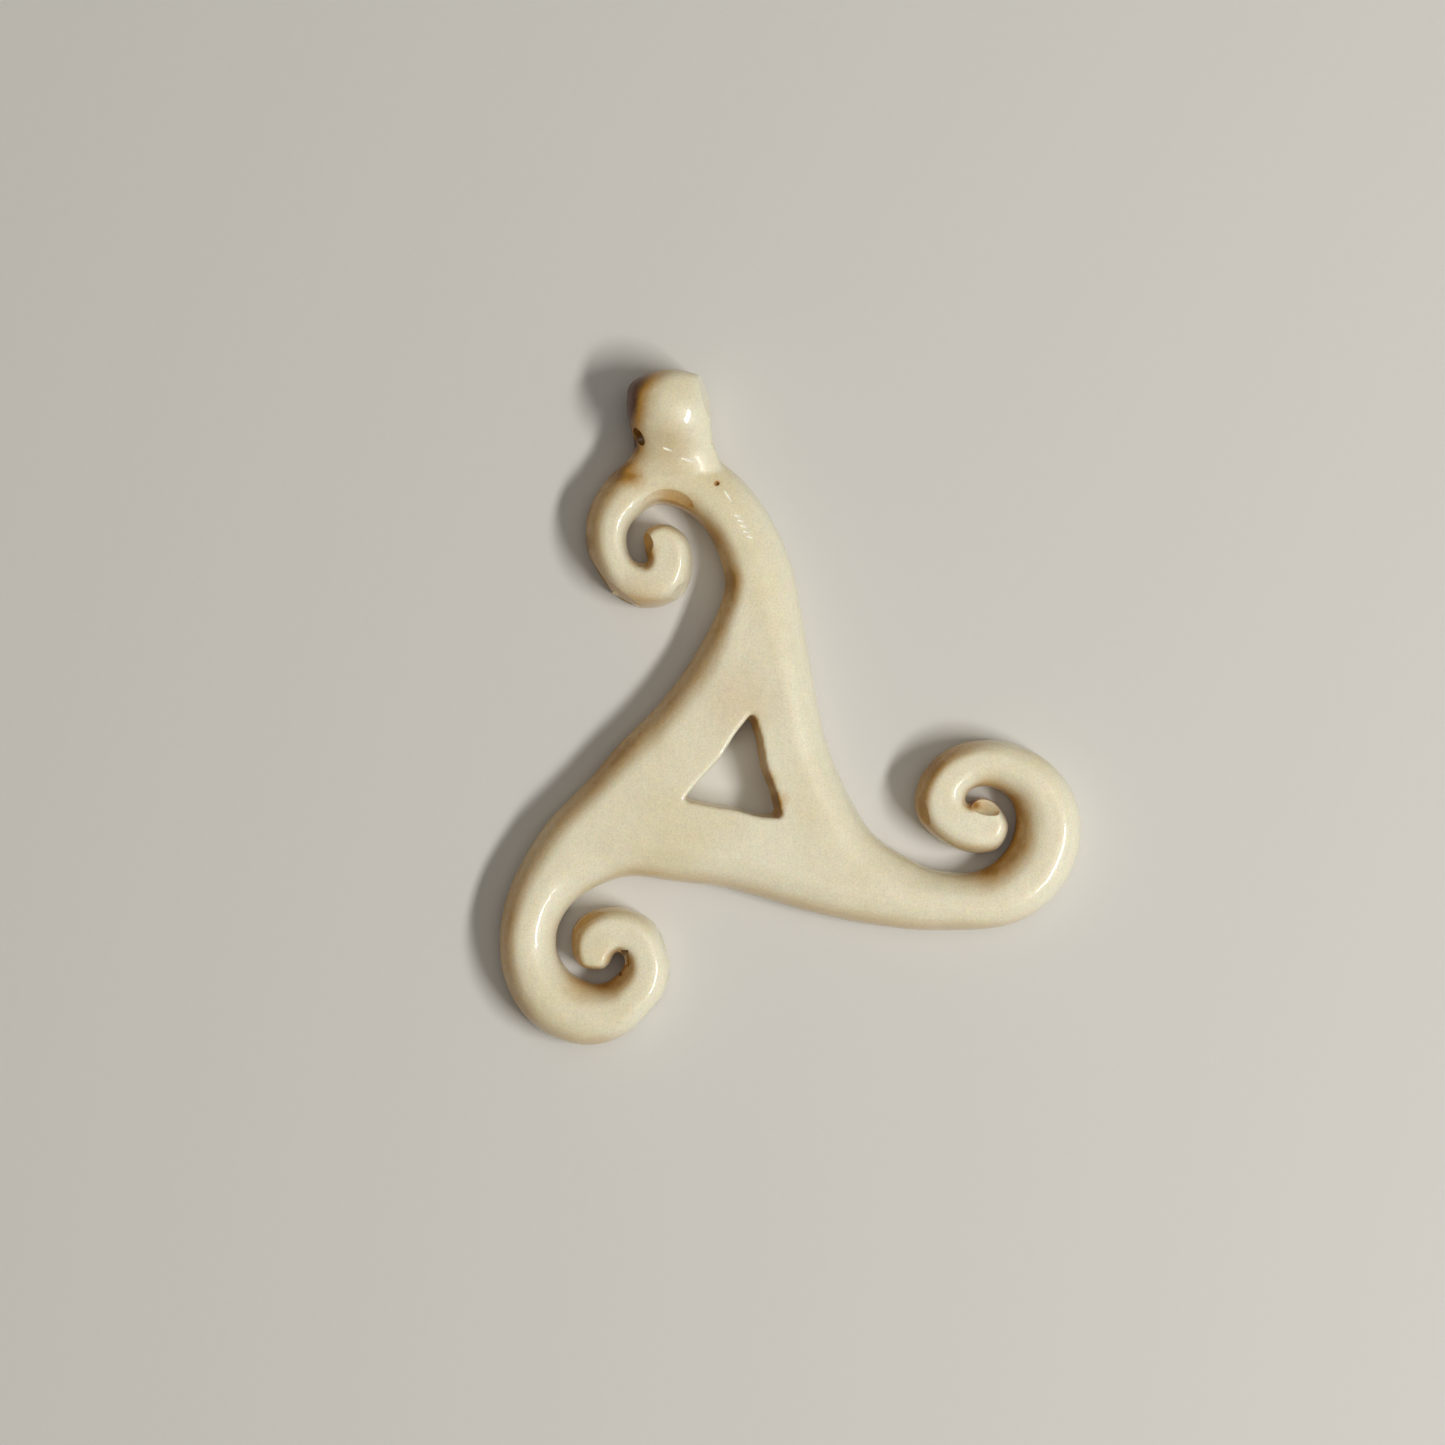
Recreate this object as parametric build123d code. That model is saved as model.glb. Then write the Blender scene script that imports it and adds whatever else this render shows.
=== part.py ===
from build123d import *
from math import cos, radians, sin
from typing import NamedTuple
import os

# A triskele pendant carved from one flat piece of bone: a pierced hub, three arms that
# each end in a coil, and a hanging knob on top of the upper coil, drilled from side to side.
# Lengths are millimetres and angles are degrees, counterclockwise from +X.
# The pendant lies on its flat back at Z 0, its carved front faces +Z and its knob points to +Y.

# Sizes of the carving
PLATE_THICKNESS = 4.2
BAND_WIDTH = 4.5
SHOULDER = 2.6
COIL_ROUNDING = 0.5
COIL_LEAN = -0.25
TIP_ROUNDING = 0.62
ARM_REACH = 17.6
COIL_RADIUS = 6.0
HUB_WAIST = 8.0

# Sizes of the pierced triangle
HOLE_REACH = 4.2
HOLE_CORNER = 0.15
HOLE_WAVE = 2.5
HOLE_FLARE = 0.45
HOLE_LEAN = 0.25

# Sizes of the hanging knob and its cord hole, and where round the upper coil's eye it stands
KNOB_TURN = 437.0
KNOB_LENGTH = 5.75
KNOB_WIDTH = 6.25
KNOB_THICKNESS = 6.2
KNOB_DOME = 0.4
KNOB_EDGE = 1.1
KNOB_EDGE_SHARE = 0.8
CORD_BORE = 1.6
CORD_HOLE_RISE = 0.7
CORD_HOLE_HEIGHT = 2.8

# The inset whose contour sets how a flank's points are spaced along its curve
MID_INSET = 0.5

# Room that a cut runs past the faces that it opens
CUT_MARGIN = 2.0


class Station(NamedTuple):
    """A place along an arm, from the hub to the tip of its coil.

    turn is its angle round the eye of the coil, reach its distance from the eye as a share
    of COIL_RADIUS, and half the half width of the arm there as a share of BAND_WIDTH / 2.
    """

    turn: float
    reach: float
    half: float


class Rim(NamedTuple):
    """A point of the rim round a tip.

    turn is its angle round the eye of the coil, reach its distance from the eye as a share
    of COIL_RADIUS, and edge how wide its edge is rounded, as a share of TIP_ROUNDING.
    """

    turn: float
    reach: float
    edge: float


class Arm(NamedTuple):
    """One arm: where the eye of its coil lies from the hub, its stations and its tip.

    distance is a share of ARM_REACH, and lean is how far the crest stands away from the eye
    of the coil, as a share of the rounding, which becomes COIL_LEAN towards the tip. The
    rim of the tip runs from the outer side to the inner side, and its row number crown is
    the foremost one. head is how many of the last stations lie within the tip and so have
    no inner side.
    """

    bearing: float
    distance: float
    lean: float
    head: int
    crown: int
    stations: tuple
    rim: tuple


class Waist(NamedTuple):
    """A point of the flank between two arms, its distance a share of HUB_WAIST."""

    bearing: float
    distance: float


class Level(NamedTuple):
    """One contour of the rounded section.

    height is a share of PLATE_THICKNESS, and inset is how far the contour stands in
    from the rim, as a share of the rounding there.
    """

    height: float
    inset: float


class HoleSide(NamedTuple):
    """A corner of the pierced triangle, and the wavy side that follows it.

    near, middle and far are how far the side stands out at its quarter points. They
    and the corner's reach are shares of HOLE_REACH.
    """

    bearing: float
    reach: float
    near: float
    middle: float
    far: float


class KnobSection(NamedTuple):
    """A cross section of the knob.

    along is its place from the rim of the coil to the top, as a share of KNOB_LENGTH, side
    its shift to +X and width its width, as shares of KNOB_WIDTH, and low and high are
    its back and front, as shares of KNOB_THICKNESS.
    """

    along: float
    side: float
    width: float
    low: float
    high: float


UPPER_ARM = Arm(
    bearing=110.8,
    distance=1.022,
    lean=-0.30,
    head=3,
    crown=3,
    stations=(
        Station(330, 1.58, 1.40),
        Station(345, 1.40, 1.15),
        Station(365, 1.21, 1.05),
        Station(390, 1.08, 0.99),
        Station(420, 0.99, 1.00),
        Station(450, 0.87, 0.87),
        Station(480, 0.71, 0.79),
        Station(510, 0.605, 0.71),
        Station(540, 0.515, 0.65),
        Station(570, 0.472, 0.63),
        Station(600, 0.462, 0.70),
        Station(630, 0.44, 0.74),
        Station(660, 0.40, 0.77),
        Station(690, 0.30, 0.73),
        Station(725, 0.23, 0.71),
    ),
    rim=(
        Rim(763, 0.419, 1.40),
        Rim(782, 0.367, 1.15),
        Rim(800, 0.298, 1.00),
        Rim(825, 0.223, 1.00),
        Rim(848, 0.109, 1.00),
        Rim(938, 0.060, 1.00),
        Rim(982, 0.137, 1.00),
    ),
)

LEFT_ARM = Arm(
    bearing=235.8,
    distance=0.957,
    lean=0.12,
    head=2,
    crown=3,
    stations=(
        Station(90, 1.67, 1.71),
        Station(105, 1.46, 1.39),
        Station(120, 1.31, 1.16),
        Station(135, 1.20, 1.01),
        Station(160, 1.05, 0.94),
        Station(190, 0.90, 0.99),
        Station(220, 0.76, 1.05),
        Station(250, 0.64, 1.02),
        Station(280, 0.54, 0.92),
        Station(310, 0.475, 0.85),
        Station(340, 0.48, 0.82),
        Station(370, 0.485, 0.73),
        Station(400, 0.495, 0.73),
        Station(430, 0.465, 0.74),
        Station(460, 0.41, 0.78),
        Station(485, 0.32, 0.76),
    ),
    rim=(
        Rim(510, 0.521, 1.50),
        Rim(528, 0.421, 1.25),
        Rim(545, 0.310, 1.00),
        Rim(556, 0.192, 1.00),
        Rim(577, 0.078, 1.00),
        Rim(776, 0.040, 1.00),
        Rim(783, 0.138, 1.00),
    ),
)

RIGHT_ARM = Arm(
    bearing=352.6,
    distance=1.014,
    lean=0.16,
    head=5,
    crown=3,
    stations=(
        Station(210, 1.71, 1.50),
        Station(225, 1.44, 1.22),
        Station(240, 1.29, 1.05),
        Station(255, 1.19, 0.96),
        Station(275, 1.14, 0.97),
        Station(300, 1.09, 1.08),
        Station(330, 0.99, 1.10),
        Station(360, 0.88, 1.03),
        Station(390, 0.735, 0.87),
        Station(420, 0.615, 0.80),
        Station(450, 0.545, 0.77),
        Station(480, 0.50, 0.78),
        Station(510, 0.465, 0.82),
        Station(540, 0.42, 0.82),
        Station(570, 0.33, 0.75),
        Station(600, 0.27, 0.78),
        Station(640, 0.24, 0.86),
        Station(675, 0.25, 0.77),
    ),
    rim=(
        Rim(690, 0.473, 1.40),
        Rim(705, 0.383, 1.15),
        Rim(725, 0.291, 1.00),
        Rim(751, 0.209, 1.00),
        Rim(784, 0.142, 1.00),
        Rim(837, 0.100, 1.00),
        Rim(874, 0.106, 1.00),
    ),
)

ARMS = (UPPER_ARM, LEFT_ARM, RIGHT_ARM)

# Each flank runs from an arm to the next one counterclockwise, round the waist of the hub
WAISTS = (
    (Waist(110, 1.17), Waist(138, 0.985), Waist(165, 1.13)),
    (Waist(235, 1.16), Waist(262, 1.03), Waist(290, 1.25)),
    (Waist(348, 1.10), Waist(375, 0.90), Waist(405, 1.055)),
)

LEVELS = (
    Level(0.00, 0.20),
    Level(0.04, 0.11),
    Level(0.14, 0.03),
    Level(0.36, 0.00),
    Level(0.58, 0.05),
    Level(0.76, 0.18),
    Level(0.89, 0.38),
    Level(0.97, 0.63),
    Level(1.00, 0.88),
)

HOLE_SIDES = (
    HoleSide(78.2, 1.083, 0.000, -0.060, -0.015),
    HoleSide(202.1, 0.970, 0.012, 0.000, 0.050),
    HoleSide(316.8, 0.943, 0.004, -0.042, 0.012),
)

KNOB_SECTIONS = (
    KnobSection(-0.40, 0.027, 1.21, 0.12, 0.62),
    KnobSection(-0.08, 0.020, 1.02, 0.05, 0.76),
    KnobSection(0.09, 0.012, 0.935, 0.04, 0.85),
    KnobSection(0.25, -0.018, 0.955, 0.04, 0.94),
    KnobSection(0.41, -0.037, 0.990, 0.04, 0.99),
    KnobSection(0.57, -0.052, 0.984, 0.04, 1.00),
    KnobSection(0.73, -0.068, 0.936, 0.05, 0.98),
    KnobSection(0.84, -0.058, 0.850, 0.08, 0.94),
    KnobSection(0.91, -0.028, 0.720, 0.11, 0.89),
    KnobSection(0.96, -0.012, 0.520, 0.16, 0.82),
    KnobSection(1.00, 0.010, 0.260, 0.24, 0.74),
)


def polar(distance: float, angle: float) -> Vector:
    """A point on the plane of the back, from a distance and an angle."""
    return Vector(distance * cos(radians(angle)), distance * sin(radians(angle)))


def eye_of(arm: Arm) -> Vector:
    """The eye of an arm's coil."""
    return polar(ARM_REACH * arm.distance, arm.bearing)


def place(arm: Arm, index: int) -> Vector:
    """The point on an arm's middle line at one of its stations."""
    station = arm.stations[index]
    return eye_of(arm) + polar(COIL_RADIUS * station.reach, station.turn)


def heading(arm: Arm, index: int) -> Vector:
    """The way that an arm runs at a station, towards its tip."""
    near = arm.stations[max(index - 1, 0)]
    far = arm.stations[min(index + 1, len(arm.stations) - 1)]
    growth = (far.reach - near.reach) / radians(far.turn - near.turn)
    station = arm.stations[index]
    outward = polar(1, station.turn)
    around = polar(1, station.turn + 90)
    return (outward * growth + around * station.reach).normalized()


def inward(arm: Arm, index: int) -> Vector:
    """The way across an arm at a station, towards the eye of the coil."""
    way = heading(arm, index)
    return Vector(-way.Y, way.X)


def half_of(arm: Arm, index: int) -> float:
    """Half the width of an arm at a station."""
    return arm.stations[index].half * BAND_WIDTH / 2


def rounding(arm: Arm, index: int) -> float:
    """The rounding of an arm's section at a station, which grows flatter towards the tip."""
    share = index / (len(arm.stations) - 1)
    return min(half_of(arm, index), SHOULDER) * (1 - (1 - COIL_ROUNDING) * share**2)


def half_at(arm: Arm, index: int, inset: float) -> float:
    """Half the width of an arm's contour at a station, for the inset of a level."""
    return half_of(arm, index) - inset * rounding(arm, index)


def middle_at(arm: Arm, index: int, inset: float) -> Vector:
    """The middle of an arm's contour at a station, which leans with the inset of a level."""
    share = index / (len(arm.stations) - 1)
    lean = arm.lean + (COIL_LEAN - arm.lean) * share**3
    return place(arm, index) - inward(arm, index) * lean * inset * rounding(arm, index)


def outer_points(arm: Arm, inset: float) -> list:
    """The contour along the outer side of an arm, from the hub to the tip."""
    points = []
    for index in range(len(arm.stations)):
        across = inward(arm, index) * half_at(arm, index, inset)
        points.append(middle_at(arm, index, inset) - across)
    return points


def inner_points(arm: Arm, inset: float) -> list:
    """The contour along an arm's side towards the eye, from the tip to the hub."""
    points = []
    for index in reversed(range(len(arm.stations) - arm.head)):
        across = inward(arm, index) * half_at(arm, index, inset)
        points.append(middle_at(arm, index, inset) + across)
    return points


def moved_left(chain: list, distances: list) -> list:
    """The points between a chain's two ends, moved to the left of the way that it runs."""
    points = []
    for back, here, ahead, distance in zip(chain, chain[1:], chain[2:], distances):
        along = (ahead - back).normalized()
        points.append(here + Vector(-along.Y, along.X) * distance)
    return points


def tip_points(arm: Arm, inset: float) -> list:
    """The contour round the tip of an arm, from its outer side to its inner side."""
    rim = [eye_of(arm) + polar(COIL_RADIUS * point.reach, point.turn) for point in arm.rim]
    chain = [outer_points(arm, 0.0)[-1], *rim, inner_points(arm, 0.0)[0]]
    return moved_left(chain, [inset * TIP_ROUNDING * point.edge for point in arm.rim])


def waist_points(index: int, inset: float) -> list:
    """The contour round the hub, from one arm to the next."""
    rim = [polar(HUB_WAIST * waist.distance, waist.bearing) for waist in WAISTS[index]]
    next_arm = ARMS[(index + 1) % len(ARMS)]
    chain = [inner_points(ARMS[index], 0.0)[-1], *rim, outer_points(next_arm, 0.0)[0]]
    return moved_left(chain, [inset * SHOULDER] * len(rim))


def flank_points(index: int, inset: float) -> list:
    """The contour from one arm's tip, round the hub, to the next arm's tip."""
    arm, next_arm = ARMS[index], ARMS[(index + 1) % len(ARMS)]
    before = tip_points(arm, inset)[arm.crown + 1 :] + inner_points(arm, inset)
    after = outer_points(next_arm, inset) + tip_points(next_arm, inset)[: next_arm.crown]
    return before + waist_points(index, inset) + after


def shares_along(points: list) -> list:
    """How far along a chain of points each of them lies, from 0 to 1."""
    lengths = [0.0]
    for here, there in zip(points, points[1:]):
        lengths.append(lengths[-1] + (there - here).length)
    return [length / lengths[-1] for length in lengths]


def slope(arm: Arm, inset: float, row: int) -> Vector:
    """The way that the contour runs round a tip at one of its rows."""
    points = tip_points(arm, inset)
    return (points[row + 1] - points[row - 1]).normalized()


def flank(index: int, level: Level) -> Edge:
    """One flank's curve at a level, with the same spacing of points at every level."""
    arm, next_arm = ARMS[index], ARMS[(index + 1) % len(ARMS)]
    shares = shares_along(flank_points(index, MID_INSET))
    points = flank_points(index, level.inset)
    leave = (points[1] - points[0]).length / (shares[1] - shares[0])
    arrive = (points[-1] - points[-2]).length / (shares[-1] - shares[-2])
    start = slope(arm, level.inset, arm.crown + 1) * leave
    end = slope(next_arm, level.inset, next_arm.crown - 1) * arrive
    lift = Vector(0, 0, level.height * PLATE_THICKNESS)
    lifted = [point + lift for point in points]
    return Edge.make_spline(lifted, tangents=[start, end], parameters=shares, scale=False)


def tip(arm: Arm, level: Level) -> Edge:
    """The foremost stretch of a tip at a level, from its outer side to its inner side."""
    lift = Vector(0, 0, level.height * PLATE_THICKNESS)
    start, middle, end = tip_points(arm, level.inset)[arm.crown - 1 : arm.crown + 2]
    return Edge.make_three_point_arc(start + lift, middle + lift, end + lift)


def contour(level: Level) -> Wire:
    """The closed outline of the plate at a level."""
    edges = []
    for index in range(len(ARMS)):
        edges.append(flank(index, level))
        edges.append(tip(ARMS[(index + 1) % len(ARMS)], level))
    return Wire(edges)


def make_plate() -> Solid:
    """The hub and its three coiled arms, with a flat back and a rounded front."""
    return Solid.make_loft([contour(level) for level in LEVELS])


def triangle(height: float) -> Wire:
    """The pierced triangle's outline at a height, which grows and leans to +X on the way up."""
    share = height / PLATE_THICKNESS
    grow, lean = HOLE_FLARE * share, Vector(HOLE_LEAN * share, 0, height)
    corners = [polar(HOLE_REACH * side.reach + grow, side.bearing) + lean for side in HOLE_SIDES]
    points, radii = [], []
    for index, side in enumerate(HOLE_SIDES):
        start, end = corners[index], corners[(index + 1) % len(corners)]
        along = (end - start).normalized()
        outward = Vector(along.Y, -along.X) * HOLE_REACH
        quarter = (end - start) / 4
        points.append(start)
        radii.append(HOLE_CORNER)
        for step, stand in enumerate((side.near, side.middle, side.far), 1):
            points.append(start + quarter * step + outward * stand)
            radii.append(HOLE_WAVE)
    return Wire(FilletPolyline(points, radius=radii, close=True).edges())


def make_hole_cutter() -> Solid:
    """The body that cuts the triangle, wider at the front than at the back."""
    ends = [triangle(-CUT_MARGIN), triangle(PLATE_THICKNESS + CUT_MARGIN)]
    return Solid.make_loft(ends, ruled=True)


def knob_root() -> Vector:
    """The middle of the knob's foot, on the rim of the upper coil."""
    for near, far in zip(UPPER_ARM.stations, UPPER_ARM.stations[1:]):
        if near.turn <= KNOB_TURN <= far.turn:
            share = (KNOB_TURN - near.turn) / (far.turn - near.turn)
            reach = COIL_RADIUS * (near.reach + share * (far.reach - near.reach))
            half = BAND_WIDTH / 2 * (near.half + share * (far.half - near.half))
    return eye_of(UPPER_ARM) + polar(reach + half, KNOB_TURN)


def knob_outline(section: KnobSection) -> Wire:
    """The outline of one section of the knob, flat at the back and domed at the front."""
    half = section.width * KNOB_WIDTH / 2
    low, high = section.low * KNOB_THICKNESS, section.high * KNOB_THICKNESS
    brow = high - KNOB_DOME * (high - low)
    edge = min(KNOB_EDGE, KNOB_EDGE_SHARE * half, KNOB_EDGE_SHARE * (brow - low))
    foot = FilletPolyline((-half, brow), (-half, low), (half, low), (half, brow), radius=edge)
    dome = EllipticalCenterArc((0, brow), half, high - brow, 0, arc_size=180)
    return Wire([*foot.edges(), dome.edge()])


def make_knob() -> Solid:
    """The knob, a barrel that flares into the coil at its foot."""
    root = knob_root()
    wires = []
    for section in KNOB_SECTIONS:
        shift = Vector(section.side * KNOB_WIDTH, section.along * KNOB_LENGTH)
        plane = Plane(origin=root + shift, x_dir=(-1, 0, 0), z_dir=(0, 1, 0))
        wires.append(plane * knob_outline(section))
    return Solid.make_loft(wires)


def make_cord_hole() -> Solid:
    """The cutter of the cord hole, drilled through the knob from side to side."""
    root = knob_root()
    start = root + Vector(-KNOB_WIDTH - CUT_MARGIN, CORD_HOLE_RISE, CORD_HOLE_HEIGHT)
    axis = Plane(origin=start, z_dir=(1, 0, 0))
    return Solid.make_cylinder(CORD_BORE / 2, 2 * (KNOB_WIDTH + CUT_MARGIN), axis)


def make_pendant() -> Part:
    """The whole carving, as one solid, before it is set on its origin."""
    blank = make_plate() + make_knob()
    return blank - make_hole_cutter() - make_cord_hole()


def settled(shape: Part) -> Part:
    """The carving moved so that the middle of its footprint is the origin."""
    box = shape.bounding_box()
    middle = (box.min + box.max) * 0.5
    return shape.moved(Location((-middle.X, -middle.Y, -box.min.Z)))


os.makedirs("parts", exist_ok=True)
pendant = settled(make_pendant())
export_step(pendant, "parts/triskele_pendant.step")
box = pendant.bounding_box()
print("pendant box", box.min, box.max, "volume", round(pendant.volume, 1))
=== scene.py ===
"""The carved bone triskele: its knife work, its polished bone and its portrait."""

import logging
import math
from dataclasses import dataclass, replace
from enum import Enum
from functools import cached_property

import bpy
from mathutils import Color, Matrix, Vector
from mathutils.bvhtree import BVHTree


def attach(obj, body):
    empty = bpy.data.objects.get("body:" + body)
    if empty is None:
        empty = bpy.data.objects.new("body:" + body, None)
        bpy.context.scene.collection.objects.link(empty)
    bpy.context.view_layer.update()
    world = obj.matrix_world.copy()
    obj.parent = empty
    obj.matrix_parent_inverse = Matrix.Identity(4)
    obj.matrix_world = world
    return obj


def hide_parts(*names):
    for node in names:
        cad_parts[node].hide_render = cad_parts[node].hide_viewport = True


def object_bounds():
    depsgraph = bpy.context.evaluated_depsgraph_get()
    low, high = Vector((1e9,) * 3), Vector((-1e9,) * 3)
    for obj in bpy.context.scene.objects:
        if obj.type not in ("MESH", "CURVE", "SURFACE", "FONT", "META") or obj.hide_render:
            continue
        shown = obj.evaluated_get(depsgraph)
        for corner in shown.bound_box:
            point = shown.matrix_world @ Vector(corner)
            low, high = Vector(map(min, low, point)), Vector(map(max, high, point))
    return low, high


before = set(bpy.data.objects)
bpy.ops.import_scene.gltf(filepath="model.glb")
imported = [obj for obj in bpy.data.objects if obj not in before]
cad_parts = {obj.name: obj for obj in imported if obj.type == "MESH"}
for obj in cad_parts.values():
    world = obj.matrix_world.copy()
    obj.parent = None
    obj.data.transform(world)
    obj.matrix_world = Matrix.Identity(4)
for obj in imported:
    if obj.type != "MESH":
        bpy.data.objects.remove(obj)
cad_low, cad_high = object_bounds()

Place = tuple[float, float, float]
Paint = tuple[float, float, float, float]

MM = 0.001
UP = Vector((0.0, 0.0, 1.0))

# Level directions, which steer the painted light and shade: where the shaded walls face, the
# pendant's foot and its left side.
SHADED = (-0.93, 0.37, 0.0)
FOOTWARD = (-0.25, -0.97, 0.0)
LEFTWARD = (-1.0, 0.35, 0.0)

# How far outside a wall the feeling for it starts.
FEELER = 1.0 * MM

log = logging.getLogger("triskele")


class Slot(Enum):
    """The finishes that the record names."""

    BONE = "bone"


class Body(Enum):
    """The bodies that a piece can ride on."""

    ROOT = "root"


class Skin(Enum):
    """The materials of the carving: its rubbed skin, then its brown and clean cuts, and the
    near-white skin of its fine grooves, which is a painted glint.
    """

    POLISHED = "polished_bone"
    WHITTLED = "whittled_bone"
    PARED = "pared_bone"
    # Painted glint: the near-white skin of the fine grooves.
    SCRAPED = "painted_glint_bone"


class Layer(Enum):
    """The values that the pendant's mesh carries for its finish."""

    HOLLOW = "hollow"


class Sign(Enum):
    """What changes the bone's colour from place to place."""

    EVERYWHERE = "everywhere"
    CLOUD = "broad unevenness"
    MOTTLE = "fine unevenness"
    WALL = "steep place"
    UNEVEN_WALL = "fine unevenness of a steep place"
    # Painted light: places that face the window are tinted paler.
    LIT = "place that faces the window"
    # Painted shade: walls that face away from the window are browned.
    SHADE = "wall that faces away from the window"
    # Painted shade: walls that face the pendant's foot are browned.
    FOOTWARD = "wall that faces the pendant's foot"
    # Painted shade: the pendant's left side is tinted darker.
    LEFT_SIDE = "left side of the pendant"
    # Browning of the recesses, partly the bone's own aged brown and partly painted shade.
    RECESS = "place between walls"
    # Patches: the bone's own stains, with patches of painted shade and painted light.
    STAIN = "stain_and_shade"
    # The deepest browning, which turns to umber; that of the most shaded walls is painted shade.
    DEEP_SHADE = "the most shaded of the walls"
    DEEP_RECESS = "the deepest of the recesses"
    DEEP_STAIN = "the darkest of the stains"


def linear(red: int, green: int, blue: int) -> Paint:
    """Turns a colour as a painter reads it into light.

    Args:
        red: Red from 0 to 255.
        green: Green from 0 to 255.
        blue: Blue from 0 to 255.

    Returns:
        The same colour as linear light, with full opacity.
    """
    light = Color((red / 255, green / 255, blue / 255)).from_srgb_to_scene_linear()
    return (light.r, light.g, light.b, 1.0)


def select_only(piece: bpy.types.Object) -> None:
    """Deselects everything, then makes one object selected and active.

    Args:
        piece: The object.
    """
    bpy.ops.object.select_all(action="DESELECT")
    piece.select_set(True)
    bpy.context.view_layer.objects.active = piece


def apply_modifier(piece: bpy.types.Object, kind: str, **settings: object) -> None:
    """Adds a modifier to an object and applies it.

    Args:
        piece: The object to change.
        kind: The modifier's type.
        settings: The modifier's properties.
    """
    select_only(piece)
    modifier = piece.modifiers.new(kind.title(), kind)
    for name, value in settings.items():
        setattr(modifier, name, value)
    bpy.ops.object.modifier_apply(modifier=modifier.name)


def cut_away(piece: bpy.types.Object, tool: bpy.types.Object, skin: bpy.types.Material) -> None:
    """Cuts a tool's shape out of a piece and deletes the tool.

    Args:
        piece: The piece that is cut.
        tool: A closed mesh, which is used up.
        skin: The material that the cut faces get.
    """
    tool.data.materials.append(skin)
    cut = {"operation": "DIFFERENCE", "solver": "MANIFOLD", "material_mode": "TRANSFER"}
    apply_modifier(piece, "BOOLEAN", object=tool, **cut)
    bpy.data.objects.remove(tool)


@dataclass(frozen=True)
class Noise:
    """An uneven pattern over a surface.

    waves is how many it has in a millimetre, layers how many finer ones lie on them and
    rough how strong those are. stretch multiplies the waves along each axis, turn then
    turns the pattern about Z, in radians, and strength is how far it swings in all.
    """

    waves: float
    layers: float
    rough: float = 0.5
    stretch: Place | None = None
    turn: float = 0.0
    strength: float = 1.0


class Value:
    """A number, vector or colour that a node gives, for writing shader maths."""

    def __init__(self, graph: "Graph", socket: bpy.types.NodeSocket) -> None:
        """Keeps the socket and the graph that it belongs to."""
        self.graph = graph
        self.socket = socket

    def __add__(self, other: "Value | float") -> "Value":
        """self + other."""
        return self.graph.maths("ADD", self, other)

    def __radd__(self, other: float) -> "Value":
        """other + self."""
        return self.graph.maths("ADD", other, self)

    def __sub__(self, other: "Value | float") -> "Value":
        """self - other."""
        return self.graph.maths("SUBTRACT", self, other)

    def __rsub__(self, other: float) -> "Value":
        """other - self."""
        return self.graph.maths("SUBTRACT", other, self)

    def __mul__(self, other: "Value | float") -> "Value":
        """self * other."""
        return self.graph.maths("MULTIPLY", self, other)

    def __rmul__(self, other: float) -> "Value":
        """other * self."""
        return self.graph.maths("MULTIPLY", other, self)

    def ramp(self, low: float, high: float) -> "Value":
        """Rises smoothly from 0 at low to 1 at high, or falls where low is the larger.

        Args:
            low: Where the result is 0.
            high: Where the result is 1.

        Returns:
            The result, from 0 to 1.
        """
        spread = {"Value": self, "From Min": low, "From Max": high}
        node = self.graph.node("ShaderNodeMapRange", {"interpolation_type": "SMOOTHSTEP"}, spread)
        return Value(self.graph, node.outputs["Result"])

    def lifted(self, low: float) -> "Value":
        """Lifts a number that runs from 0 to 1, so that it runs from low to 1."""
        return low + self * (1.0 - low)

    def along(self, way: Place | Vector) -> "Value":
        """How far this vector reaches in a direction."""
        return self.graph.vector("DOT_PRODUCT", self, way)

    def away_from(self, point: Place) -> "Value":
        """How far this point is from another."""
        return self.graph.vector("DISTANCE", self, point)


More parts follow.
